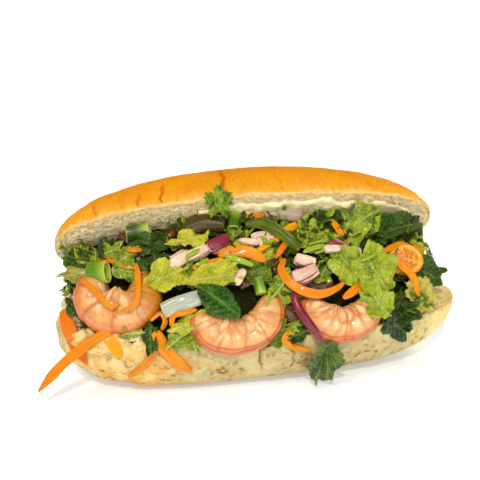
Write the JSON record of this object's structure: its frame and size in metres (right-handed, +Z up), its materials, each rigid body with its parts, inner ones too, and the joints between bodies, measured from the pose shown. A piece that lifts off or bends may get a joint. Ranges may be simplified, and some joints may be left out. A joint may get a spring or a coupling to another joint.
{
  "type": "banh mi sandwich",
  "caption": "Prawn banh mi in a soft golden roll, hinged at the back and packed with salad, prawns, shredded carrot, onion, scallion and herbs.",
  "frame": {"origin": "centre of the flat underside of the roll", "axes": "+X along the roll, +Z up; the open mouth with the filling faces -Y, the hinge of the roll is at +Y"},
  "size_m": [0.2178, 0.1, 0.1034],
  "materials": {
    "bread": "soft golden crust over pale porous crumb",
    "mayonnaise": "creamy, satin",
    "salad": "mixed chopped salad greens, dressed",
    "lettuce": "crisp wet leaf",
    "herb": "dark herb leaf, veined",
    "prawn": "cooked prawn flesh, moist",
    "carrot": "fresh shredded carrot",
    "scallion": "cut green scallion, fibrous",
    "onion": "pale onion with a pink blush",
    "red_onion": "red onion skin side, shiny",
    "daikon": "translucent white radish",
    "pepper": "pickled olive-green pepper",
    "chilli": "green chilli skin, shiny",
    "mushroom": "soft grey-beige slice",
    "tomato": "ripe orange tomato flesh with seeds"
  },
  "bodies": {
    "root": {"carrot_strip_01": "carrot", "carrot_strip_02": "carrot", "carrot_strip_03": "carrot", "carrot_strip_04": "carrot", "carrot_strip_05": "carrot", "carrot_strip_06": "carrot", "carrot_strip_07": "carrot", "carrot_strip_08": "carrot", "carrot_strip_09": "carrot", "carrot_strip_10": "carrot", "carrot_strip_11": "carrot", "carrot_strip_12": "carrot", "carrot_strip_13": "carrot", "carrot_strip_14": "carrot", "carrot_strip_15": "carrot", "carrot_strip_16": "carrot", "carrot_strip_17": "carrot", "carrot_strip_18": "carrot", "carrot_strip_19": "carrot", "carrot_strip_20": "carrot", "chilli_strip": "chilli", "cilantro_front": "herb", "daikon_stick": "daikon", "herb_leaf_01": "lettuce", "lettuce_leaf_01": "lettuce", "lettuce_leaf_02": "lettuce", "lettuce_leaf_03": "lettuce", "lettuce_leaf_04": "lettuce", "lettuce_leaf_05": "lettuce", "lettuce_leaf_06": "herb", "lettuce_leaf_07": "lettuce", "lettuce_leaf_08": "lettuce", "lettuce_leaf_09": "lettuce", "mayonnaise": "mayonnaise", "mint_leaf": "herb", "mushroom_slice": "mushroom", "onion_crescent": "red_onion", "onion_piece_01": "onion", "onion_piece_02": "onion", "onion_piece_03": "red_onion", "onion_piece_04": "onion", "onion_piece_05": "onion", "onion_piece_06": "onion", "onion_piece_07": "onion", "onion_piece_08": "red_onion", "onion_piece_09": "onion", "parsley_sprig": "herb", "pepper_slice": "pepper", "roll": "bread", "salad": "salad", "scallion_ring_1": "scallion", "scallion_ring_2": "scallion", "scallion_ring_3": "scallion", "scallion_ring_4": "scallion", "shrimp_left": "prawn", "shrimp_middle": "prawn", "shrimp_right": "prawn", "stem_stick": "scallion", "tomato_wedge": "tomato"}
  },
  "joints": []
}
